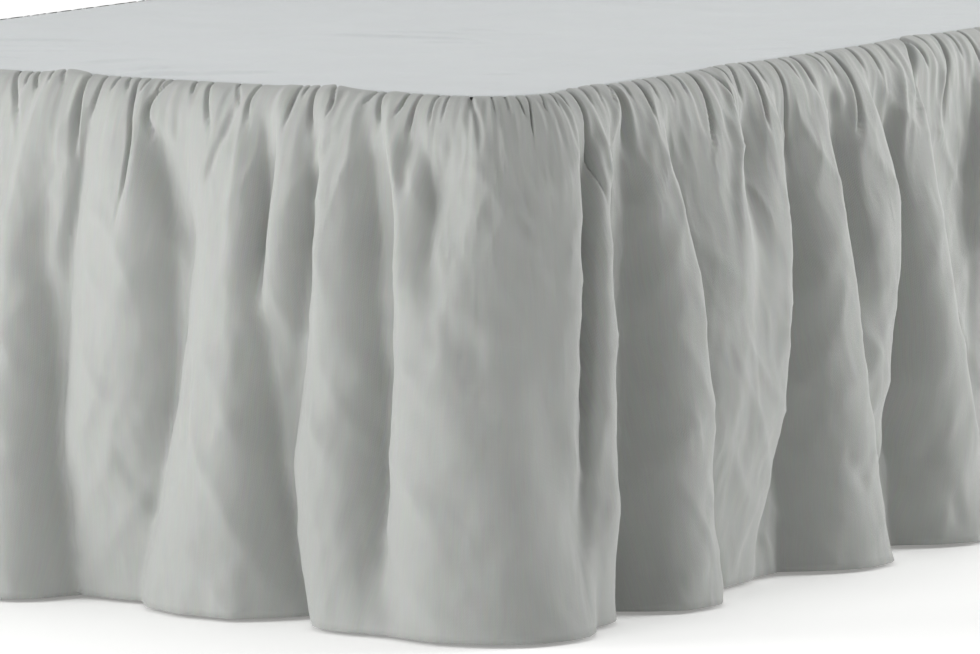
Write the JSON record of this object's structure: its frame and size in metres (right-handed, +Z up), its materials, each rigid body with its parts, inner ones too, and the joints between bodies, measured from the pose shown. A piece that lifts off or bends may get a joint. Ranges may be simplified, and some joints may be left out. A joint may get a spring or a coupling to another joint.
{
  "type": "gathered bed skirt on a plain single bed base",
  "caption": "Gathered cotton bed skirt hanging to the floor in soft uneven folds round the foot and both sides of a plain box bed base on short legs, with a flat deck panel.",
  "frame": {"origin": "bottom centre of the bounding box, on the floor under the bed", "axes": "+Z up, +Y along the bed to the open head end, so the skirt's foot panel faces -Y; +X to the right for someone who stands at the foot and looks at the bed"},
  "size_m": [1.1182, 2.1476, 0.5059],
  "materials": {
    "gathered_cotton": "matt",
    "deck_cotton": "matt",
    "base_cover": "matt",
    "leg_wood": "satin"
  },
  "bodies": {
    "root": {"gathered_skirt": "gathered_cotton", "deck_panel": "deck_cotton", "bed_base": "base_cover", "leg_foot_left": "leg_wood", "leg_foot_right": "leg_wood", "leg_head_left": "leg_wood", "leg_head_right": "leg_wood"}
  },
  "joints": []
}
